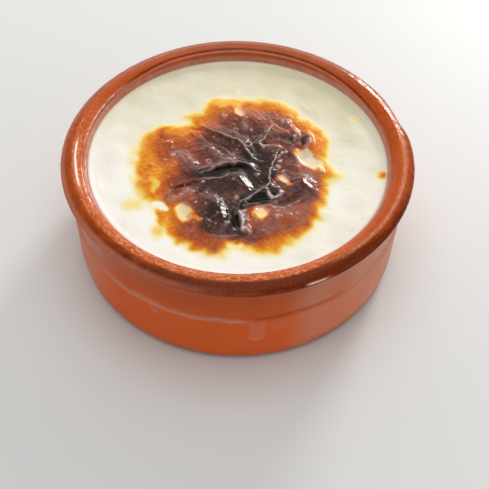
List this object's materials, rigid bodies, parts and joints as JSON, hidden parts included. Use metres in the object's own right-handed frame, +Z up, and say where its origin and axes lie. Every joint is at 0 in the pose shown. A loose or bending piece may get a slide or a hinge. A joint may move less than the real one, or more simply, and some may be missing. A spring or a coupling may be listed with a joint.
{
  "type": "baked rice pudding in a clay bowl",
  "caption": "Low round clay bowl filled almost to the rim with baked rice pudding, its creamy top browned and wrinkled in the middle.",
  "frame": {"origin": "centre of the bowl's flat base, on the surface it stands on", "axes": "+Z up along the bowl's axis, -Y towards the viewer of the picture, +X to the viewer's right"},
  "size_m": [0.1198, 0.1208, 0.0423],
  "materials": {
    "clay": "red-brown clear glaze on the rim, inside and upper wall, bare orange clay below the shoulder",
    "pudding": "moist, softly glossy cream, with a browned to blackened wet skin in the middle"
  },
  "bodies": {
    "root": {"bowl": "clay", "pudding": "pudding"}
  },
  "joints": []
}
